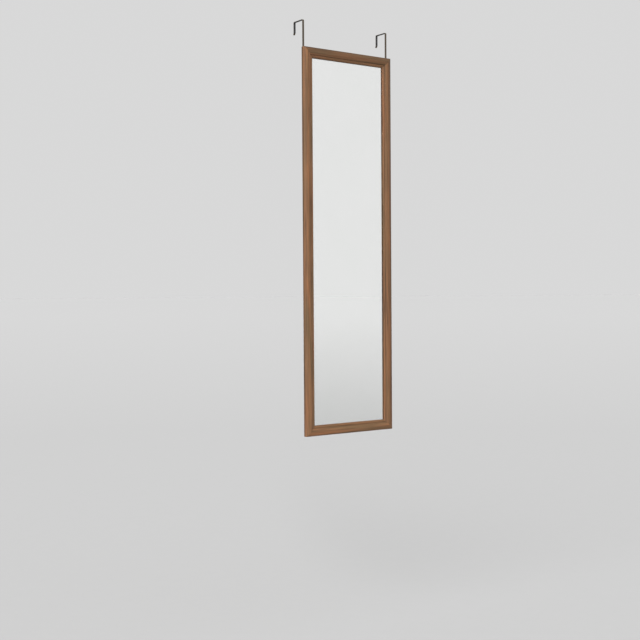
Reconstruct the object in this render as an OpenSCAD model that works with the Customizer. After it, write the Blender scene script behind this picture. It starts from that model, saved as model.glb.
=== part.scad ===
// Over-the-door mirror: a mitred, moulded frame with a silvered pane, hung on two steel hook straps.
// Origin: the middle of the door's top edge, on the plane of the door's front face.
// +Z is up, the mirror faces -Y, and the door stands at +Y.

/* [Frame] */
// Overall width of the frame
frame_w = 360; // [300:5:460]
// Overall height of the frame
frame_h = 1270; // [900:10:1500]
// Width of the moulding, from its outer side to the sight edge
rail_w = 34; // [32:1:44]
// Depth of the moulding, back to front
rail_d = 20; // [19:0.5:26]
// Height of the door's top edge above the top of the frame
frame_drop = 88; // [60:1:140]

/* [Moulding profile] */
// Distance of the crest's highest line from the outer side
crest_u = 13; // [11:0.5:15]
// Radius of the crest's outer half
crest_r = 20; // [18:1:26]
// Height that the crest's inner half falls to the cove
crest_fall = 3.6; // [2.5:0.1:4.2]
// Radius of the outer shoulder
shoulder_r = 2; // [1.5:0.5:4]
// Radius of the cove between the crest and the bead
cove_r = 2.2; // [1.6:0.1:2.8]
// Width of the flat quirk between the cove and the bead
quirk_w = 0.3; // [0.2:0.1:1]
// Height of the quirk above the lowest line of the cove
quirk_h = 0.15; // [0.05:0.05:0.3]
// Radius of the bead
bead_r = 1.9; // [1.5:0.1:2.4]
// Height of the bead above the quirk
bead_rise = 0.8; // [0.5:0.1:1.2]
// Distance of the bead's middle from the sight edge, over which the moulding slopes down to the glass
slope_w = 5.5; // [4.5:0.1:6]
// Thickness of the lip at the sight edge
lip_t = 2.2; // [1.5:0.1:3]
// Chamfer along the outer edge of the back
back_ease = 1; // [0.5:0.1:2]

/* [Mirror and backing] */
// Width of the rabbet that the pane sits in
rabbet_w = 7; // [6:0.5:9]
// Thickness of the glass
glass_t = 3; // [2:0.5:4]
// Thickness of the silvered and painted layer behind the glass
silver_t = 0.2; // [0.1:0.05:0.4]
// Thickness of the foam liner
foam_t = 1.5; // [1:0.5:2.5]
// Thickness of the hardboard backing
board_t = 3; // [2.5:0.5:4]
// Play between the pane's edges and the rabbet's walls
pane_play = 1; // [0.5:0.1:1.5]

/* [Framer's points] */
// Thickness of a point
point_t = 0.8; // [0.6:0.1:1]
// Width of a point
point_w = 6; // [5:0.5:8]
// Depth that a point's tip goes into the moulding
point_bite = 6; // [4:0.5:7]
// Length of a point that lies on the backing board
point_tail = 8; // [6:0.5:10]
// Distance of the points behind which the frame's back plane lies
point_recess = 1.5; // [1:0.1:2]
// Points along each stile
stile_points = 6; // [4:1:8]
// Points along the top rail and along the bottom rail
rail_points = 2; // [2:1:3]

/* [Corner V-nails] */
// Depth of a V-nail
nail_depth = 10; // [7:1:12]
// Length of each leg of a V-nail
nail_leg = 5; // [4:0.5:6]
// Thickness of a V-nail
nail_t = 0.8; // [0.6:0.1:1]
// Distance of a V-nail's edge below the frame's back plane
nail_sink = 0.3; // [0.1:0.1:0.6]
// Distance of the outer V-nail from the outer sides
outer_nail = 8; // [6:0.5:9]
// Distance of the inner V-nail from the outer sides
inner_nail = 18; // [16:0.5:19]

/* [Hangers] */
// Distance of a hanger's centre line from the frame's outer side
hanger_inset = 8; // [8:0.5:14]
// Width of the strap that shows above the frame
strap_w = 7; // [5:0.5:9]
// Thickness of the steel
strap_t = 1.2; // [1:0.1:2]
// Inner radius of the hook's bends
bend_r = 2.5; // [1.5:0.5:4]
// Thickness of the thickest door that the hooks take
door_t = 45; // [35:1:50]
// Length of the hook's rear leg below the door's top edge
rear_leg = 34; // [25:1:45]
// Height of the flared lip at the end of the rear leg
lip_h = 6; // [4:1:9]
// Distance that the lip flares out
lip_out = 2.5; // [1.5:0.5:4]
// Width of the drilled tab behind the frame
tab_w = 12; // [11:0.5:14]
// Number of height-setting holes in the tab
hole_count = 3; // [2:1:3]
// Distance from hole to hole
hole_pitch = 12; // [10:0.5:13]
// Distance of the pivot screw below the top of the frame
screw_drop = 40; // [38:1:60]
// Thickness of the pads that line the hooks
pad_t = 1; // [0.5:0.1:1.4]

/* [Pivot screws] */
// Radius of the screw's plain shank
shank_r = 1.75; // [1.5:0.05:2.1]
// Radius of the screw's core in the wood
core_r = 1.3; // [1:0.05:1.4]
// Length of the screw in the wood
screw_bite = 13; // [9:1:14]
// Length of the plain shank in the wood
shank_sink = 2; // [1:0.5:3]
// Radius of the screw's head
head_r = 3.8; // [3.2:0.1:4.4]
// Height of the screw's head
head_h = 1.6; // [1.4:0.1:2]
// Thickness of the washer under the head
washer_t = 0.6; // [0.4:0.1:1]
// Radius of the washer
washer_r = 4.6; // [4.2:0.1:5.4]

/* [Bumpers] */
// Radius of a bumper
bumper_r = 6; // [4:0.5:8]
// Height of a bumper's centre above the bottom of the frame
bumper_up = 44; // [40:1:80]

/* [Clearances] */
// Gap on each side of a hanger's tab, so that it can turn on its screw
swing_gap = 0.1; // [0.05:0.05:0.3]
// Radial clearance of the screw's shank in the hanger's hole
pivot_play = 0.08; // [0.03:0.01:0.1]
// Clearance around a fastener in its pocket
pocket_play = 0.05; // [0.02:0.01:0.1]
// Space between a screw's head and the door's face
head_space = 0.4; // [0.2:0.1:1]

/* [Hidden] */
$fn = 64;

walnut = [0.45, 0.32, 0.23];
silver = [0.80, 0.82, 0.83];
clear_glass = [0.75, 0.85, 0.82, 0.35];
foam_white = [0.90, 0.90, 0.88];
board_brown = [0.50, 0.38, 0.26];
plated_steel = [0.70, 0.70, 0.70];
dark_steel = [0.32, 0.31, 0.29];
pad_grey = [0.25, 0.25, 0.25];
clear_rubber = [0.85, 0.85, 0.82];

// Sides of the frame, clockwise as seen from the front. Corner k lies between side k and side k + 1.
TOP = 0;
RIGHT = 1;
BOTTOM = 2;
LEFT = 3;

// The back of the frame stands off the door by what lies between them at the pivot screws.
standoff = 2 * swing_gap + strap_t + washer_t + head_h + head_space;
frame_back_y = -standoff;
frame_top_z = -frame_drop;
frame_mid_z = frame_top_z - frame_h / 2;

// The rabbet is as deep as what it holds, with the points a little below the back plane.
rabbet_d = glass_t + silver_t + foam_t + board_t + point_t + point_recess;
rabbet_u = rail_w - rabbet_w;
pane_w = frame_w - 2 * (rabbet_u + pane_play);
pane_h = frame_h - 2 * (rabbet_u + pane_play);

// The profile, in u from the outer side to the sight edge and v from the back to the front.
bead_u = rail_w - slope_w;
cove_u = bead_u - bead_r - quirk_w;
step_u = cove_u - cove_r;
step_v = rail_d - crest_fall;
quirk_v = step_v - cove_r + quirk_h;
bead_v = quirk_v + bead_rise - bead_r;
// The crest's inner half is an arc from the highest line down to the cove.
crest_inner_r = (pow(step_u - crest_u, 2) + pow(crest_fall, 2)) / (2 * crest_fall);
crest_v = rail_d - crest_r;
// The slope runs from the sight edge's lip to where it touches the bead.
lip_v = rabbet_d + lip_t;
lip_to_bead = norm([slope_w, bead_v - lip_v]);
slope_angle = atan2(bead_v - lip_v, -slope_w) - asin(bead_r / lip_to_bead);
slope_len = sqrt(pow(lip_to_bead, 2) - pow(bead_r, 2));
slope_top = [rail_w + slope_len * cos(slope_angle), lip_v + slope_len * sin(slope_angle)];
// The shoulder's circle touches the outer side, and the crest's circle from inside.
shoulder_v = crest_v + sqrt(pow(crest_r - shoulder_r, 2) - pow(crest_u - shoulder_r, 2));
touch_u = crest_u - (crest_u - shoulder_r) * crest_r / (crest_r - shoulder_r);

// The hangers, in the plane behind the frame and over the door.
hanger_x = frame_w / 2 - hanger_inset;
strap_front_y = frame_back_y + swing_gap;
strap_back_y = strap_front_y + strap_t;
rear_leg_y = door_t + pad_t;
pivot_z = frame_top_z - screw_drop;
tab_top_z = pivot_z + (hole_count - 1) * hole_pitch + tab_w / 2;
hole_r = shank_r + pivot_play;
tab_taper = tab_w - strap_w;
washer_y = strap_back_y + swing_gap;
head_y = washer_y + washer_t;

// ---- Placing ----

// Local axes of a side: X along it, Z = 0 on its outer side, Y = 0 on its back, front towards -Y.
module on_side(side) {
    half = side % 2 == 0 ? frame_h / 2 : frame_w / 2;
    translate([0, frame_back_y, frame_mid_z])
        rotate([0, 90 * side, 0])
            translate([0, 0, half])
                children();
}

function side_length(side) = side % 2 == 0 ? frame_w : frame_h;

// Carries a shape drawn in X and Z, thickness t, to the depth range that starts at v behind the front.
module plate(v, t) {
    translate([0, -v, 0])
        rotate([90, 0, 0])
            linear_extrude(t)
                children();
}

module at_hanger(side) {
    translate([side * hanger_x, 0, 0])
        children();
}

// ---- Frame ----

// The part of a circle under the crest's highest line that lies between two values of u.
module crest_half(from_u, to_u, radius) {
    intersection() {
        translate([from_u, rabbet_d])
            square([to_u - from_u, rail_d]);
        translate([crest_u, rail_d - radius])
            circle(r = radius);
    }
}

// The block with its crest and shoulder, hollowed by the cove, before the bead is added.
module crest_section() {
    difference() {
        union() {
            polygon([
                [back_ease, 0], [rail_w, 0], [rail_w, lip_v], slope_top, [bead_u, quirk_v],
                [cove_u, quirk_v], [shoulder_r, shoulder_v], [0, shoulder_v], [0, back_ease]
            ]);
            translate([shoulder_r, shoulder_v])
                circle(r = shoulder_r);
            crest_half(touch_u, crest_u, crest_r);
            crest_half(crest_u, cove_u, crest_inner_r);
        }
        translate([cove_u, step_v])
            circle(r = cove_r);
    }
}

module moulding_section() {
    difference() {
        union() {
            crest_section();
            translate([bead_u, bead_v])
                circle(r = bead_r);
        }
        translate([rabbet_u, -rabbet_d])
            square([2 * rabbet_w, 2 * rabbet_d]);
    }
}

// A side of the frame, as long as the frame there, with both ends mitred.
module mitred_moulding(side) {
    half = side_length(side) / 2;
    intersection() {
        rotate(180, [1, 0, -1])
            linear_extrude(2 * half, center = true)
                moulding_section();
        plate(0, rail_d)
            polygon([[-half, 0], [half, 0], [half - rail_w, -rail_w], [rail_w - half, -rail_w]]);
    }
}

module frame_side(side) {
    color(walnut)
        difference() {
            on_side(side)
                mitred_moulding(side);
            nail_pockets(side);
            nail_pockets((side + 3) % 4);
            side_points(side, pocket_play);
            if (side == LEFT || side == RIGHT)
                at_hanger(side == LEFT ? -1 : 1)
                    pilot_bore();
        }
}

// ---- Corner V-nails ----

// Seen from behind: two legs along the two sides, each with a turned-out end.
module nail_section(play) {
    grow = 2 * play;
    for (turn = [0, 1])
        mirror([turn, -turn, 0])
            translate([-nail_leg - play, -nail_t - play]) {
                square([nail_leg + grow, nail_t + grow]);
                square([nail_t + grow, 2 * nail_t + grow]);
            }
}

// Places a shape at both V-nails of a corner.
module at_nails(corner) {
    half = side_length(corner) / 2;
    on_side(corner)
        for (inset = [outer_nail, inner_nail])
            translate([half - inset, 0, -inset])
                children();
}

module corner_nails(corner) {
    color(plated_steel)
        at_nails(corner)
            plate(nail_sink, nail_depth)
                nail_section(0);
}

// The slots that the V-nails of a corner are driven into, open to the frame's back.
module nail_pockets(corner) {
    at_nails(corner)
        plate(-pocket_play, nail_sink + nail_depth + 2 * pocket_play)
            nail_section(pocket_play);
}

// ---- Mirror and backing ----

// A sheet of the pane's size whose front face lies at depth v from the frame's back.
module sheet(v, t) {
    translate([0, frame_back_y, frame_mid_z])
        plate(v - t, t)
            square([pane_w, pane_h], center = true);
}

module mirror_glass() {
    color(clear_glass)
        sheet(rabbet_d, glass_t);
}

module mirror_silvering() {
    color(silver)
        sheet(rabbet_d - glass_t, silver_t);
}

module foam_liner() {
    color(foam_white)
        sheet(rabbet_d - glass_t - silver_t, foam_t);
}

module backing_board() {
    color(board_brown)
        sheet(point_recess + point_t + board_t, board_t);
}

// ---- Framer's points ----

// Its tip points to +Y of the drawing, and its tail lies on the board.
module point_section(play) {
    half = point_w / 2 + play;
    polygon([[-half, -point_tail], [half, -point_tail], [half, 0], [0, point_bite + 2 * play], [-half, 0]]);
}

// Points spread evenly along a side, half a pitch from its ends.
module side_points(side, play = 0) {
    count = side % 2 == 0 ? rail_points : stile_points;
    pitch = (side_length(side) - 2 * rail_w) / count;
    on_side(side)
        for (i = [0 : count - 1])
            translate([(i - (count - 1) / 2) * pitch, 0, -rabbet_u])
                plate(point_recess - play, point_t + 2 * play)
                    point_section(play);
}

module retaining_points() {
    color(plated_steel)
        for (side = [TOP, RIGHT, BOTTOM, LEFT])
            side_points(side);
}

// ---- Hangers ----

// A quarter of a ring in the quadrant that dir_y points to, above its centre.
module bend_section(dir_y) {
    outer = bend_r + strap_t;
    difference() {
        intersection() {
            circle(r = outer);
            translate([dir_y > 0 ? 0 : -outer, 0])
                square(outer);
        }
        circle(r = bend_r);
    }
}

// The hook in Y and Z: front leg, bend, web over the door, bend, rear leg and flared lip.
module hook_section() {
    bend_z = pad_t - bend_r;
    front_bend_y = strap_back_y + bend_r;
    rear_bend_y = rear_leg_y - bend_r;
    translate([strap_front_y, tab_top_z])
        square([strap_t, bend_z - tab_top_z]);
    translate([front_bend_y, bend_z])
        bend_section(-1);
    translate([front_bend_y, pad_t])
        square([rear_bend_y - front_bend_y, strap_t]);
    translate([rear_bend_y, bend_z])
        bend_section(1);
    translate([rear_leg_y, -rear_leg])
        square([strap_t, bend_z + rear_leg]);
    translate([rear_leg_y, -rear_leg])
        polygon([[0, 0], [lip_out, -lip_h], [lip_out + strap_t, -lip_h], [strap_t, 0]]);
}

// The drilled tab in X and Z, with a round lower end and a tapered shoulder.
module tab_section() {
    difference() {
        union() {
            translate([0, pivot_z])
                circle(r = tab_w / 2);
            polygon([
                [-tab_w / 2, pivot_z], [tab_w / 2, pivot_z], [tab_w / 2, tab_top_z - tab_taper],
                [strap_w / 2, tab_top_z], [-strap_w / 2, tab_top_z], [-tab_w / 2, tab_top_z - tab_taper]
            ]);
        }
        for (i = [0 : hole_count - 1])
            translate([0, pivot_z + i * hole_pitch])
                circle(r = hole_r);
    }
}

module hanger(side) {
    color(dark_steel)
        at_hanger(side) {
            rotate([90, 0, 90])
                linear_extrude(strap_w, center = true)
                    hook_section();
            plate(-strap_back_y, strap_t)
                tab_section();
        }
}

// A strip along the web's underside and down the rear leg, with a bend looser than the hook's.
module pad_section() {
    start_y = strap_back_y + bend_r;
    bend = bend_r + pad_t / 2;
    corner_y = rear_leg_y - bend;
    corner_z = pad_t - bend;
    translate([start_y, 0])
        square([corner_y - start_y, pad_t]);
    translate([corner_y, corner_z])
        difference() {
            intersection() {
                circle(r = bend);
                square(bend);
            }
            circle(r = bend - pad_t);
        }
    translate([rear_leg_y - pad_t, -rear_leg])
        square([pad_t, rear_leg + corner_z]);
}

module hook_pad(side) {
    color(pad_grey)
        at_hanger(side)
            rotate([90, 0, 90])
                linear_extrude(strap_w, center = true)
                    pad_section();
}

// ---- Pivot screws and washers ----

// Stands a shape drawn along +Z on the pivot's axis, pointing away from the frame, at depth y.
module on_pivot(y) {
    translate([0, y, pivot_z])
        rotate([-90, 0, 0])
            children();
}

module hanger_screw(side) {
    shank_end = head_y - frame_back_y + shank_sink;
    tip_h = 2 * core_r;
    core_len = screw_bite - shank_sink - tip_h;
    slot_w = head_r / 4;
    color(plated_steel)
        at_hanger(side)
            difference() {
                union() {
                    on_pivot(head_y)
                        cylinder(r1 = head_r, r2 = head_r * 0.7, h = head_h);
                    on_pivot(head_y - shank_end)
                        cylinder(r = shank_r, h = shank_end);
                    on_pivot(head_y - shank_end - core_len)
                        cylinder(r = core_r, h = core_len);
                    on_pivot(frame_back_y - screw_bite)
                        cylinder(r1 = 0, r2 = core_r, h = tip_h);
                }
                for (turn = [0, 90])
                    on_pivot(head_y + head_h / 2)
                        rotate([0, 0, turn])
                            translate([-head_r / 2, -slot_w / 2, 0])
                                cube([head_r, slot_w, head_h]);
            }
}

// The bores for the screw's shank and core, open to the frame's back.
module pilot_bore() {
    on_pivot(frame_back_y - shank_sink - pocket_play)
        cylinder(r = shank_r + pocket_play, h = 2 * shank_sink);
    on_pivot(frame_back_y - screw_bite - pocket_play)
        cylinder(r = core_r + pocket_play, h = screw_bite);
}

module hanger_washer(side) {
    color(plated_steel)
        at_hanger(side)
            on_pivot(washer_y)
                difference() {
                    cylinder(r = washer_r, h = washer_t);
                    translate([0, 0, -washer_t])
                        cylinder(r = hole_r, h = 3 * washer_t);
                }
}

// ---- Bumpers ----

module bumper_section() {
    edge_r = standoff / 4;
    square([bumper_r, standoff - edge_r]);
    square([bumper_r - edge_r, standoff]);
    translate([bumper_r - edge_r, standoff - edge_r])
        circle(r = edge_r);
}

module bumper(side) {
    color(clear_rubber)
        translate([side * (frame_w / 2 - rabbet_u / 2), frame_back_y, frame_top_z - frame_h + bumper_up])
            rotate([-90, 0, 0])
                rotate_extrude()
                    bumper_section();
}

frame_side(LEFT);  // left_stile
frame_side(RIGHT);  // right_stile
frame_side(TOP);  // top_rail
frame_side(BOTTOM);  // bottom_rail
mirror_glass();
mirror_silvering();
foam_liner();
backing_board();
corner_nails(LEFT);  // top_left_corner_nails
corner_nails(TOP);  // top_right_corner_nails
corner_nails(BOTTOM);  // bottom_left_corner_nails
corner_nails(RIGHT);  // bottom_right_corner_nails
retaining_points();
hanger(-1);  // left_hanger
hanger(1);  // right_hanger
hook_pad(-1);  // left_hook_pad
hook_pad(1);  // right_hook_pad
hanger_screw(-1);  // left_hanger_screw
hanger_screw(1);  // right_hanger_screw
hanger_washer(-1);  // left_hanger_washer
hanger_washer(1);  // right_hanger_washer
bumper(-1);  // left_bumper
bumper(1);  // right_bumper
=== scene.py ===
import math

import bmesh
import bpy
from mathutils import Matrix, Vector


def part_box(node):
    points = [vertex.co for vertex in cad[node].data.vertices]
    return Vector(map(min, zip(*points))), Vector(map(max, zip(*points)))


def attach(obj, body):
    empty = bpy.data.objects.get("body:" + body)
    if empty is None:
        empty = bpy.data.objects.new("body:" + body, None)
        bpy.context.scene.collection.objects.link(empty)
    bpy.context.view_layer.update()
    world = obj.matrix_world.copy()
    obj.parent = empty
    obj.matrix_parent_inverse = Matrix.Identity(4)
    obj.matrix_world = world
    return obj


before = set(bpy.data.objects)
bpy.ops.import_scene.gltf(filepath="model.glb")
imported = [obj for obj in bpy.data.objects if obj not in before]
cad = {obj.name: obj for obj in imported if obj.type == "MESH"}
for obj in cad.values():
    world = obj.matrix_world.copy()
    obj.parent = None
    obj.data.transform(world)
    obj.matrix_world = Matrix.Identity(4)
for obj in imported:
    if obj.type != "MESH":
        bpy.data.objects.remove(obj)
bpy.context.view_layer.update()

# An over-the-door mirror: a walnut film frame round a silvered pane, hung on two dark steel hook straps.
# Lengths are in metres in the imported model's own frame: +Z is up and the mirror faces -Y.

MM = 0.001

# ---- Names, measures and directions ----

HANDS = ("left", "right")
TOP, RIGHT, BOTTOM, LEFT = range(4)
SIDE_NODES = {TOP: "top_rail", RIGHT: "right_stile", BOTTOM: "bottom_rail", LEFT: "left_stile"}

stile_low, stile_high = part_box("left_stile")
glass_low, glass_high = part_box("mirror_glass")
rail_w = stile_high.x - stile_low.x
rail_d = stile_high.y - stile_low.y
rabbet_d = stile_high.y - glass_low.y
frame_half_w = -stile_low.x
frame_half_h = (stile_high.z - stile_low.z) / 2
frame_centre = Vector((0, stile_high.y, (stile_high.z + stile_low.z) / 2))

# Where a pattern ends at a face, it ends this far from it, so that rounding can't move it.
FACE_TOLERANCE = 0.1 * MM


def both(part):
    """The names of the left and the right piece of a pair."""
    return [f"{hand}_{part}" for hand in HANDS]


def direction(azimuth, elevation):
    """A unit vector, azimuth degrees from the mirror's front (-Y) towards +X and elevation degrees up."""
    azimuth = math.radians(azimuth)
    elevation = math.radians(elevation)
    return Vector((
        math.sin(azimuth) * math.cos(elevation),
        -math.cos(azimuth) * math.cos(elevation),
        math.sin(elevation),
    ))


# ---- Shader building ----

# Most values of a noise lie between these.
NOISE_LOW = 0.3
NOISE_HIGH = 0.7


def rgb(red, green, blue):
    """A colour given as display values from 0 to 255, as linear RGBA."""
    def linear(value):
        share = value / 255
        return share / 12.92 if share <= 0.04045 else ((share + 0.055) / 1.055) ** 2.4
    return (linear(red), linear(green), linear(blue), 1.0)


def grey(value):
    """A linear grey that other colours are multiplied by."""
    return (value, value, value, 1.0)


class Nodes:
    """A node tree, with a short call for each kind of node used here."""

    def __init__(self, tree):
        self.tree = tree

    def node(self, kind, inputs=(), **settings):
        """A new node with these settings, and a value or a link in each input named."""
        made = self.tree.nodes.new(kind)
        for key, value in settings.items():
            setattr(made, key, value)
        for key, value in dict(inputs).items():
            self.feed(made.inputs[key], value)
        return made

    def feed(self, socket, value):
        """A link into the socket, or a plain value."""
        if isinstance(value, bpy.types.NodeSocket):
            self.tree.links.new(value, socket)
        else:
            socket.default_value = value

    def calc(self, operation, a, b=0.0):
        return self.node("ShaderNodeMath", {0: a, 1: b}, operation=operation).outputs[0]

    def axes(self, vector):
        return self.node("ShaderNodeSeparateXYZ", {0: vector}).outputs

    def levels(self, value, low, high, start=0.0, end=1.0, smooth=False):
        """value's range from low to high, mapped to start to end and cut off there."""
        return self.node(
            "ShaderNodeMapRange",
            {"Value": value, "From Min": low, "From Max": high, "To Min": start, "To Max": end},
            interpolation_type="SMOOTHSTEP" if smooth else "LINEAR",
        ).outputs[0]

    def spread(self, noise, start=0.0, end=1.0):
        """A noise's usual range, mapped to start to end."""
        return self.levels(noise, NOISE_LOW, NOISE_HIGH, start, end)

    def ramp(self, value, *stops):
        """The colour that value finds between stops of (position, colour)."""
        made = self.node("ShaderNodeValToRGB", {0: value})
        band = made.color_ramp
        while len(band.elements) < len(stops):
            band.elements.new(0.5)
        for element, (position, colour) in zip(band.elements, stops):
            element.position = position
            element.color = colour
        return made.outputs["Color"]

    def mix(self, share, a, b, blend="MIX"):
        """The colour that is share of the way from a to b, or to b blended over a."""
        made = self.node("ShaderNodeMix", {0: share, 6: a, 7: b}, data_type="RGBA", blend_type=blend)
        return made.outputs[2]

    def shade(self, colour, value, *stops):
        """colour, multiplied by the grey that value finds between stops of (position, grey)."""
        greys = self.ramp(value, *[(position, grey(level)) for position, level in stops])
        return self.mix(1.0, colour, greys, "MULTIPLY")

    def between(self, share, a, b):
        """The number that is share of the way from a to b."""
        return self.node("ShaderNodeMix", {0: share, 2: a, 3: b}, data_type="FLOAT").outputs[0]


class Surface(Nodes):
    """A material with its shader, and with patterns that are placed in the object's own axes."""

    def __init__(self, name):
        self.material = bpy.data.materials.new(name)
        self.material.use_nodes = True
        super().__init__(self.material.node_tree)
        self.shader = self.tree.nodes["Principled BSDF"]
        self.place = self.node("ShaderNodeTexCoord").outputs["Object"]

    def set(self, **sockets):
        """Shader inputs by name, with _ for a space."""
        for key, value in sockets.items():
            self.feed(self.shader.inputs[key.replace("_", " ")], value)

    def local(self, origin, turn_y):
        """Coordinates measured from origin, in axes turned about Y."""
        return self.node(
            "ShaderNodeMapping",
            {"Vector": self.place, "Location": origin, "Rotation": (0, turn_y, 0)},
            vector_type="TEXTURE",
        ).outputs[0]

    def noise(self, size, detail=2.0, roughness=0.5, seed=0, vector=None, distortion=0.0):
        """Noise whose features have this size in millimetres, along X, Y and Z."""
        scale = [1 / (s * MM) for s in size]
        shift = (seed * 7.3, seed * 3.1, seed * 5.7)
        stretched = self.node(
            "ShaderNodeVectorMath",
            {0: vector or self.place, 1: scale, 2: shift},
            operation="MULTIPLY_ADD",
        ).outputs[0]
        return self.node(
            "ShaderNodeTexNoise",
            {"Vector": stretched, "Scale": 1.0, "Detail": detail, "Roughness": roughness,
             "Distortion": distortion},
        ).outputs["Fac"]

    def bump(self, height, depth, strength=1.0):
        """Relief whose height of 0 to 1 is depth millimetres deep."""
        inputs = {"Height": height, "Distance": depth * MM, "Strength": strength}
        return self.node("ShaderNodeBump", inputs).outputs[0]


# ---- Wood film ----

# How dark each length of film is: a difference in tone between lengths, with painted shade that makes the
# top and right lengths darkest.
SIDE_TONES_AND_SHADE = {TOP: 0.70, RIGHT: 0.73, BOTTOM: 0.89, LEFT: 0.95}

# Across the profile, at millimetres from the outer face: a brown glaze gathers in the cove, with painted
# shade in a dark line at the shoulder and in the cove, and a little painted light towards the sight edge.
# The flank table is painted shade, darkest at the frame's back, at millimetres from the back.
GLAZE_AND_SHADE = (
    (0.0, 0.90), (0.4, 0.88), (1.0, 0.68), (2.0, 0.68), (3.4, 0.80), (6.0, 0.92), (12.0, 0.92),
    (15.0, 0.96), (18.0, 1.0), (22.5, 1.03), (25.5, 0.91), (28.5, 1.01), (31.0, 1.06), (34.0, 1.03),
)
FLANK_PAINTED_SHADE = ((0.0, 0.50), (6.5, 0.60), (11.0, 1.0))

FILM_BROWNS = (rgb(110, 84, 57), rgb(124, 89, 60), rgb(138, 94, 62))
VEIN_BROWN = rgb(74, 52, 36)
PORE_BROWN = rgb(62, 44, 30)
SEAM_BROWN = rgb(48, 35, 25)
CORE_TANS = (rgb(164, 131, 98), rgb(190, 158, 122))

# Sizes in the print, the core and the wear: millimetres along the grain and across it.
BANDS = (240, 13)
FIGURE = (190, 4.8)
VEINS = (120, 3.0)
FIBRES = (55, 0.7)
PORES = (9, 0.28)
CORE_BLOTCHES = (60, 9)
CORE_FIBRES = (3.0, 0.5)
CHIPS = (16, 2.5)
WAVER = (30, 30)

# How far the film is turned in over the frame's back, and how much more at most.
WRAP = 5.0 * MM
WRAP_WAVER = 1.5 * MM

# Where a seam's dark line, the wear at a mitre and the wear of the outer back edge start to fade and end.
SEAM_EDGE = (0.12 * MM, 0.30 * MM)
MITRE_WEAR = (0.3 * MM, 1.6 * MM)
ARRIS_WEAR = (1.0 * MM, 2.4 * MM)


class WoodSurface(Surface):
    """One side of the frame in its own axes: u inwards from the outer face, v forwards from the back."""

    def __init__(self, side):
        super().__init__(f"walnut_film_{SIDE_NODES[side]}")
        turn = math.radians(90 * side)
        to_face, half_length = frame_half_w, frame_half_h
        if side in (TOP, BOTTOM):
            to_face, half_length = frame_half_h, frame_half_w
        outwards = Matrix.Rotation(turn, 3, "Y") @ Vector((0, 0, to_face))
        self.vector = self.local(frame_centre + outwards, turn)
        along, back, inward = self.axes(self.vector)
        self.u = self.calc("MULTIPLY", inward, -1.0)
        self.v = self.calc("MULTIPLY", back, -1.0)
        to_end = self.calc("SUBTRACT", half_length, self.calc("ABSOLUTE", along))
        self.to_mitre = self.calc("ABSOLUTE", self.calc("SUBTRACT", to_end, self.u))

    def grain(self, size, **settings):
        """Noise drawn out along the side."""
        length, width = size
        return self.noise((length, width, width), vector=self.vector, **settings)

    def glaze_and_shade(self, colour, distance, span, shades):
        """colour under glaze and painted shade, whose levels are given at millimetres of a distance with
        this span.
        """
        stops = [(mm * MM / span, shade) for mm, shade in shades]
        return self.shade(colour, self.calc("DIVIDE", distance, span), *stops)


def core_board(wood):
    """Bare wood-fibre core, as it shows behind the film."""
    blotch = wood.grain(CORE_BLOTCHES, detail=3, seed=21)
    fibre = wood.grain(CORE_FIBRES, detail=3, seed=22)
    dark, light = CORE_TANS
    colour = wood.ramp(wood.spread(blotch), (0.0, dark), (1.0, light))
    return wood.shade(colour, wood.spread(fibre), (0.0, 0.80), (1.0, 1.1))


def film_print(wood, side):
    """The printed colour from broad bands to single pores, and its figure, fibres and pores."""
    tone = wood.grain(BANDS, detail=3, seed=side, distortion=0.5)
    figure = wood.grain(FIGURE, detail=4, roughness=0.6, seed=side + 4, distortion=0.4)
    vein = wood.grain(VEINS, detail=2, seed=side + 16, distortion=0.3)
    fibre = wood.grain(FIBRES, detail=3, roughness=0.6, seed=side + 8)
    pore = wood.grain(PORES, detail=1, seed=side + 12)
    dark, middle, light = FILM_BROWNS
    colour = wood.ramp(wood.levels(tone, 0.34, 0.66), (0.0, dark), (0.5, middle), (1.0, light))
    # Each length's tone, with painted shade on the top and right lengths.
    colour = wood.mix(1.0, colour, grey(SIDE_TONES_AND_SHADE[side]), "MULTIPLY")
    colour = wood.shade(colour, wood.spread(figure), (0.0, 0.48), (0.28, 0.88), (0.6, 1.03), (1.0, 1.24))
    colour = wood.shade(colour, wood.spread(fibre), (0.0, 0.88), (1.0, 1.10))
    colour = wood.mix(wood.levels(vein, 0.56, 0.66, 0.0, 0.45), colour, VEIN_BROWN)
    pores = wood.calc("MULTIPLY", wood.levels(pore, 0.60, 0.68), wood.levels(figure, 0.62, 0.40))
    colour = wood.mix(wood.calc("MULTIPLY", pores, 0.55), colour, PORE_BROWN)
    return colour, figure, fibre, pores


def film_wear(wood):
    """How far the film is rubbed away, in patches along the mitres and the outer back edge."""
    chip = wood.levels(wood.grain(CHIPS, detail=3, seed=31), 0.50, 0.62)
    mitre = wood.levels(wood.to_mitre, *MITRE_WEAR, 0.5, 0.0)
    arris = wood.levels(wood.calc("ADD", wood.u, wood.v), *ARRIS_WEAR, 0.7, 0.0)
    return wood.calc("MULTIPLY", wood.calc("MAXIMUM", mitre, arris), chip)


def bare_core(wood):
    """1 on the back and in the rabbet, further in than the film is turned over, and 0 elsewhere."""
    waver = wood.calc("MULTIPLY", wood.grain(WAVER, seed=33), WRAP_WAVER)
    inside = wood.calc("GREATER_THAN", wood.u, wood.calc("ADD", WRAP, waver))
    behind = wood.calc("LESS_THAN", wood.v, rabbet_d - FACE_TOLERANCE)
    return wood.calc("MULTIPLY", inside, behind)


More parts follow.
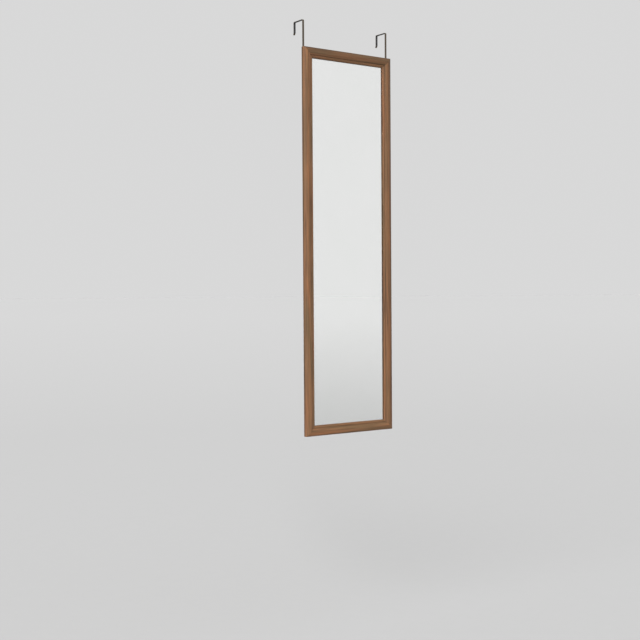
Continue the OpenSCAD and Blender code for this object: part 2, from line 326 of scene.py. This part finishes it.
def walnut_film(side):
    """Printed walnut film on one side: grain along it, painted shade on its profile and flanks, a seam at
    each mitre, and bare core behind.
    """
    wood = WoodSurface(side)
    core = core_board(wood)
    film, figure, fibre, pores = film_print(wood, side)
    # Brown glaze in the cove, with painted shade at the shoulder and in the cove, and a little painted
    # light towards the sight edge.
    film = wood.glaze_and_shade(film, wood.u, rail_w, GLAZE_AND_SHADE)
    # Painted shade on the flanks, darkest at the frame's back.
    film = wood.glaze_and_shade(film, wood.v, rail_d, FLANK_PAINTED_SHADE)
    film = wood.mix(film_wear(wood), film, wood.mix(0.55, film, core))
    seam = wood.levels(wood.to_mitre, *SEAM_EDGE, 1.0, 0.0)
    film = wood.mix(wood.calc("MULTIPLY", seam, 0.75), film, SEAM_BROWN)
    relief = wood.calc("SUBTRACT", wood.calc("MULTIPLY", fibre, 0.35), pores)
    relief = wood.calc("SUBTRACT", relief, wood.calc("MULTIPLY", seam, 3.0))
    bare = bare_core(wood)
    wood.set(
        Base_Color=wood.mix(bare, film, core),
        Roughness=wood.between(bare, wood.spread(figure, 0.58, 0.48), 0.9),
        Specular_IOR_Level=0.25,
        Normal=wood.bump(relief, 0.035, 0.8),
    )
    return wood


# ---- Pane and backing ----

GLASS_TINTS = ((0.972, 0.985, 0.975, 1.0), (0.988, 0.995, 0.990, 1.0))
SILVER = (0.93, 0.92, 0.925, 1.0)
FOAM_CELL = 1.4 * MM
SCREEN_PITCH = 1.6 * MM


def float_glass():
    """Clear glass, faintly green, with smears that blur it a little."""
    surface = Surface("float_glass")
    smear = surface.noise((90, 90, 140), detail=3, seed=41)
    green, clear = GLASS_TINTS
    surface.set(
        Base_Color=surface.ramp(smear, (0.0, green), (1.0, clear)),
        Roughness=surface.levels(smear, 0.45, 0.75, 0.0, 0.02),
        IOR=1.52,
        Transmission_Weight=1.0,
    )
    return surface


def silvering():
    """Silver against the glass and grey protective paint behind it."""
    surface = Surface("silvering")
    back = surface.calc("GREATER_THAN", surface.axes(surface.place)["Y"], glass_high.y + FACE_TOLERANCE)
    coat = surface.noise((25, 25, 25), detail=3, seed=42)
    painted = surface.ramp(coat, (NOISE_LOW, rgb(104, 110, 116)), (NOISE_HIGH, rgb(122, 127, 132)))
    surface.set(
        Base_Color=surface.mix(back, SILVER, painted),
        Metallic=surface.calc("SUBTRACT", 1.0, back),
        Roughness=surface.between(back, surface.spread(coat, 0.0, 0.012), 0.6),
    )
    return surface


def foam():
    """White foam sheet with round cells."""
    surface = Surface("foam_sheet")
    cells = surface.node("ShaderNodeTexVoronoi", {"Vector": surface.place, "Scale": 1 / FOAM_CELL})
    distance = cells.outputs["Distance"]
    surface.set(
        Base_Color=surface.ramp(distance, (0.0, rgb(238, 238, 234)), (1.0, rgb(218, 218, 212))),
        Roughness=surface.levels(distance, 0.0, 0.8, 0.65, 0.9),
        Normal=surface.bump(distance, 0.15),
    )
    return surface


def screen_print(surface):
    """The weave that the press's screen leaves in hardboard, from -1 to 1."""
    across, _, up = surface.axes(surface.place)
    waves = [
        surface.calc("SINE", surface.calc("MULTIPLY", way, math.tau / SCREEN_PITCH))
        for way in (across, up)
    ]
    return surface.calc("MULTIPLY", *waves)


def hardboard():
    """Pressed fibre with the print of the press's screen on its rear face."""
    surface = Surface("hardboard")
    cloud = surface.noise((160, 40, 210), detail=5, roughness=0.6, seed=51)
    fibres = surface.noise((0.5, 3.5, 3.5), detail=4, roughness=0.65, seed=52)
    flecks = surface.noise((1.2, 1.2, 5), detail=2, seed=53)
    lumps = surface.noise((7, 7, 9), detail=4, roughness=0.6, seed=54)
    screen = screen_print(surface)
    colour = surface.ramp(surface.spread(cloud), (0.0, rgb(128, 89, 56)), (1.0, rgb(138, 97, 62)))
    colour = surface.shade(colour, surface.spread(lumps), (0.0, 0.88), (1.0, 1.08))
    colour = surface.shade(colour, surface.spread(fibres), (0.0, 0.74), (1.0, 1.16))
    colour = surface.shade(colour, surface.levels(screen, -1.0, 1.0), (0.0, 0.86), (1.0, 1.06))
    colour = surface.mix(surface.levels(flecks, 0.64, 0.74, 0.0, 0.5), colour, rgb(70, 46, 29))
    relief = surface.calc("ADD", surface.calc("MULTIPLY", screen, 0.35), fibres)
    surface.set(
        Base_Color=colour,
        Roughness=surface.spread(fibres, 0.78, 0.62),
        Normal=surface.bump(relief, 0.12),
    )
    return surface


# ---- Metal and rubber ----

def zinc_plate():
    """Bright zinc with soft spangles and fine scratches."""
    surface = Surface("zinc_plate")
    spangle = surface.noise((2.2, 2.2, 2.2), detail=3, seed=61)
    scratch = surface.noise((0.12, 0.12, 2.5), detail=2, seed=62)
    colour = surface.ramp(surface.spread(spangle), (0.0, rgb(150, 153, 158)), (1.0, rgb(184, 184, 178)))
    surface.set(
        Base_Color=surface.shade(colour, scratch, (NOISE_LOW, 0.80), (NOISE_HIGH, 1.0)),
        Metallic=1.0,
        Roughness=surface.spread(spangle, 0.20, 0.34),
        Normal=surface.bump(scratch, 0.01, 0.6),
    )
    return surface


def dark_steel():
    """Dark brown-grey stove enamel on the hook straps, thinner and paler where they are handled."""
    surface = Surface("dark_steel")
    peel = surface.noise((0.9, 0.9, 0.9), detail=2, seed=71)
    cloud = surface.noise((18, 18, 40), detail=3, seed=72)
    handling = surface.noise((5, 5, 9), detail=4, roughness=0.6, seed=73)
    colour = surface.ramp(surface.spread(cloud), (0.0, rgb(64, 55, 43)), (1.0, rgb(78, 67, 54)))
    rubbed = surface.calc("MULTIPLY", surface.levels(handling, 0.56, 0.70), 0.35)
    surface.set(
        Base_Color=surface.mix(rubbed, colour, rgb(101, 91, 77)),
        Metallic=0.25,
        Roughness=surface.spread(cloud, 0.52, 0.42),
        Normal=surface.bump(peel, 0.03, 0.7),
    )
    return surface


def pad_foam():
    """Dark open-cell foam, greyer where it is scuffed."""
    surface = Surface("pad_foam")
    cells = surface.noise((0.45, 0.45, 0.45), detail=2, seed=81)
    scuff = surface.noise((4, 9, 9), detail=3, seed=82)
    colour = surface.ramp(surface.levels(cells, 0.35, 0.65), (0.0, rgb(30, 30, 31)), (1.0, rgb(52, 52, 53)))
    surface.set(
        Base_Color=surface.mix(surface.levels(scuff, 0.5, 0.8, 0.0, 0.5), colour, rgb(78, 77, 75)),
        Roughness=surface.spread(scuff, 0.95, 0.8),
        Normal=surface.bump(cells, 0.08),
    )
    return surface


def clear_rubber():
    """Milky silicone that lets some light through, with dust caught on it."""
    surface = Surface("clear_rubber")
    haze = surface.noise((2.5, 2.5, 2.5), detail=3, seed=91)
    dust = surface.noise((0.5, 0.5, 0.5), detail=2, seed=92)
    milky = surface.ramp(surface.spread(haze), (0.0, rgb(196, 195, 185)), (1.0, rgb(212, 211, 202)))
    surface.set(
        Base_Color=surface.mix(surface.levels(dust, 0.62, 0.72, 0.0, 0.2), milky, rgb(150, 146, 136)),
        Roughness=surface.spread(haze, 0.28, 0.42),
        Subsurface_Weight=0.6,
        Subsurface_Radius=(1.0, 1.0, 0.9),
        Subsurface_Scale=3 * MM,
        IOR=1.41,
        Normal=surface.bump(haze, 0.03),
    )
    return surface


# ---- Screw threads ----

# The core that the thread runs round, its rise and its pitch, and the plain shank's length in the wood.
CORE_R = 1.3 * MM
THREAD_RISE = 0.45 * MM
THREAD_PITCH = 1.35 * MM
SHANK_SINK = 2.0 * MM
STEPS_PER_TURN = 28

# How deep the ridge's foot lies inside the core, how far it spreads in pitches, and its lowest crest.
FOOT_SINK = 0.1 * MM
FOOT_SPREAD = 0.3
CREST_MIN = 0.01 * MM


def thread_ring(mesh, start, reach, length):
    """The corners of the ridge's section at this reach along its length: foot, crest and foot."""
    angle = math.tau * reach / THREAD_PITCH
    point_taper = min(1.0, reach / (2 * CORE_R))
    run_out = (length - reach) / THREAD_PITCH
    core = CORE_R * point_taper
    foot = max(core - FOOT_SINK, 0.0)
    crest = core + THREAD_RISE * min(point_taper, run_out) + CREST_MIN
    outwards = Vector((math.cos(angle), 0, math.sin(angle)))
    return [
        mesh.verts.new(start + outwards * radius + Vector((0, reach + shift * THREAD_PITCH, 0)))
        for radius, shift in ((foot, -FOOT_SPREAD), (crest, 0.0), (foot, FOOT_SPREAD))
    ]


def thread_mesh(name, start, length):
    """A sharp ridge wound round a screw's core, as one closed mesh."""
    mesh = bmesh.new()
    steps = round(length / THREAD_PITCH * STEPS_PER_TURN)
    rings = [thread_ring(mesh, start, length * step / steps, length) for step in range(steps + 1)]
    for this, following in zip(rings, rings[1:]):
        for i in range(3):
            mesh.faces.new((this[i], this[i - 1], following[i - 1], following[i]))
    mesh.faces.new(rings[0])
    mesh.faces.new(reversed(rings[-1]))
    bmesh.ops.recalc_face_normals(mesh, faces=mesh.faces)
    data = bpy.data.meshes.new(name)
    mesh.to_mesh(data)
    mesh.free()
    return data


def screw_thread(hand, surface):
    """The thread of one pivot screw, from its gimlet point to its plain shank."""
    low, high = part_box(f"{hand}_hanger_screw")
    start = Vector(((low.x + high.x) / 2, low.y, (low.z + high.z) / 2))
    length = stile_high.y - SHANK_SINK - low.y
    data = thread_mesh(f"{hand}_screw_thread", start, length)
    data.materials.append(surface.material)
    thread = bpy.data.objects.new(data.name, data)
    bpy.context.scene.collection.objects.link(thread)
    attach(thread, "frame")


# ---- Dressing the frame's nodes ----

PANE_DRAWN_IN = 0.01 * MM
EDGE_ROUNDING = 0.2 * MM


def paint(surface, *node_names):
    """Puts a surface in every material slot of these CAD nodes."""
    for name in node_names:
        for slot in cad[name].material_slots:
            slot.material = surface.material


def weld(node_name, distance):
    """Joins a CAD node's faces into one surface, for the modifiers that follow."""
    cad[node_name].modifiers.new("weld", "WELD").merge_threshold = distance


def draw_in(node_name, distance):
    """Shows a box smaller by distance on every face, so that no face of it lies in a neighbour's.

    Its corners move along their diagonals, so they have the square root of three times as far to go.
    """
    weld(node_name, distance / 10)
    displace = cad[node_name].modifiers.new("draw_in", "DISPLACE")
    displace.mid_level = 0.0
    displace.strength = -distance * math.sqrt(3)


def ease_edges(width, *node_names):
    """Shows CAD nodes with their sharp edges rounded off, as stamping and coating leave them."""
    for name in node_names:
        weld(name, width / 20)
        flat = cad[name].modifiers.new("flat_faces", "DECIMATE")
        flat.decimate_type = "DISSOLVE"
        flat.angle_limit = math.radians(1)
        bevel = cad[name].modifiers.new("ease_edges", "BEVEL")
        bevel.width = width
        bevel.segments = 2
        bevel.limit_method = "ANGLE"
        bevel.angle_limit = math.radians(35)
        bevel.harden_normals = True


for side, node_name in SIDE_NODES.items():
    paint(walnut_film(side), node_name)

paint(float_glass(), "mirror_glass")
draw_in("mirror_glass", PANE_DRAWN_IN)
paint(silvering(), "mirror_silvering")
paint(foam(), "foam_liner")
paint(hardboard(), "backing_board")

zinc = zinc_plate()
paint(zinc, "retaining_points", *both("hanger_screw"), *both("hanger_washer"))
for row in ("top", "bottom"):
    paint(zinc, *[f"{row}_{nails}" for nails in both("corner_nails")])
for hand in HANDS:
    screw_thread(hand, zinc)

paint(dark_steel(), *both("hanger"))
ease_edges(EDGE_ROUNDING, *both("hanger"), *both("hanger_washer"))
paint(pad_foam(), *both("hook_pad"))
paint(clear_rubber(), *both("bumper"))


# ---- Studio ----

# How bright the surround is before and behind the mirror. One turns into the other in the directions
# whose share along Y is less than SURROUND_TURN.
SURROUND_FRONT = 0.865
SURROUND_BEHIND = 0.69
SURROUND_TURN = 0.5

# How bright the floor is under the door. Between FADE_START and FADE_END it turns as bright as the
# surround, in step with 1 / (distance + FADE_EASE), so that the change looks even.
DOOR_H = 2.03
FLOOR_R = 300.0
FLOOR_TONE = 0.638
FADE_START = 5.8
FADE_END = 50.0
FADE_EASE = 3.78

KEY_STRENGTH = 4.0
KEY_SPREAD = 55
KEY_AZIMUTH = -60
KEY_ELEVATION = 25

# The photograph's camera, with its focal length in pixels of a picture 640 wide.
PICTURE_W = 640
FOCAL_PX = 1123
SENSOR_W = 36.0
CAMERA_PLACE = Vector((-2.273, -3.018, -0.886))
CAMERA_AZIMUTH = -35.63
CAMERA_ELEVATION = 1.41
CAMERA_ROLL = -0.38


def surround_brightness(nodes, depth):
    """How bright the surround is in a direction whose share along Y is depth."""
    return nodes.levels(
        depth, -SURROUND_TURN, SURROUND_TURN, SURROUND_FRONT, SURROUND_BEHIND, smooth=True
    )


def studio_walls():
    """An even pale surround, a little brighter on the side that the mirror faces."""
    world = bpy.data.worlds.new("studio")
    world.use_nodes = True
    bpy.context.scene.world = world
    nodes = Nodes(world.node_tree)
    outwards = nodes.node("ShaderNodeTexCoord").outputs["Generated"]
    brightness = surround_brightness(nodes, nodes.axes(outwards)["Y"])
    nodes.feed(world.node_tree.nodes["Background"].inputs["Color"], brightness)


def floor_surface():
    """A matt grey whose colour is set by how bright it should look in this light."""
    surface = Surface("pale_floor")
    radius = surface.node("ShaderNodeVectorMath", {0: surface.place}, operation="LENGTH").outputs["Value"]
    nearness = surface.calc("DIVIDE", 1.0, surface.calc("ADD", radius, FADE_EASE))
    fade = surface.levels(nearness, 1 / (FADE_START + FADE_EASE), 1 / (FADE_END + FADE_EASE))
    depth = surface.calc("DIVIDE", surface.axes(surface.place)["Y"], radius)
    brightness = surface.between(fade, FLOOR_TONE, surround_brightness(surface, depth))
    from_key = KEY_STRENGTH * math.sin(math.radians(KEY_ELEVATION)) / math.pi
    from_surround = (SURROUND_FRONT + SURROUND_BEHIND) / 2
    colour = surface.calc("DIVIDE", brightness, from_surround + from_key)
    grain = surface.spread(surface.noise((40, 40, 40), detail=3, seed=95), 0.995, 1.005)
    surface.set(
        Base_Color=surface.calc("MULTIPLY", colour, grain),
        Roughness=0.9,
        Specular_IOR_Level=0.0,
    )
    return surface


def pale_floor():
    """The floor under the door, which turns as bright as the surround with distance."""
    bpy.ops.mesh.primitive_circle_add(
        vertices=128, radius=FLOOR_R, fill_type="NGON", location=(0, 0, -DOOR_H)
    )
    floor = bpy.context.object
    floor.name = "floor"
    floor.data.materials.append(floor_surface().material)


def key_light():
    """A broad soft light from the upper left, the same over the whole height of the mirror."""
    sun = bpy.data.lights.new("key", "SUN")
    sun.energy = KEY_STRENGTH
    sun.angle = math.radians(KEY_SPREAD)
    key = bpy.data.objects.new("key", sun)
    key.rotation_mode = "QUATERNION"
    key.rotation_quaternion = (-direction(KEY_AZIMUTH, KEY_ELEVATION)).to_track_quat("-Z", "Y")
    bpy.context.scene.collection.objects.link(key)


def photograph_camera():
    """The camera at the photograph's place, turned level and then rolled as the photograph is."""
    data = bpy.data.cameras.new("camera")
    data.sensor_fit = "HORIZONTAL"
    data.sensor_width = SENSOR_W
    data.lens = FOCAL_PX / PICTURE_W * SENSOR_W
    data.clip_start = 0.05
    data.clip_end = 500
    camera = bpy.data.objects.new("camera", data)
    back = direction(CAMERA_AZIMUTH, CAMERA_ELEVATION)
    level = (-back).cross(Vector((0, 0, 1))).normalized()
    upright = Matrix((level, level.cross(-back), back)).transposed()
    roll = Matrix.Rotation(math.radians(CAMERA_ROLL), 3, "Z")
    camera.matrix_world = Matrix.Translation(CAMERA_PLACE) @ (upright @ roll).to_4x4()
    bpy.context.scene.collection.objects.link(camera)
    bpy.context.scene.camera = camera


studio_walls()
pale_floor()
key_light()
photograph_camera()
bpy.context.scene.view_settings.view_transform = "Standard"
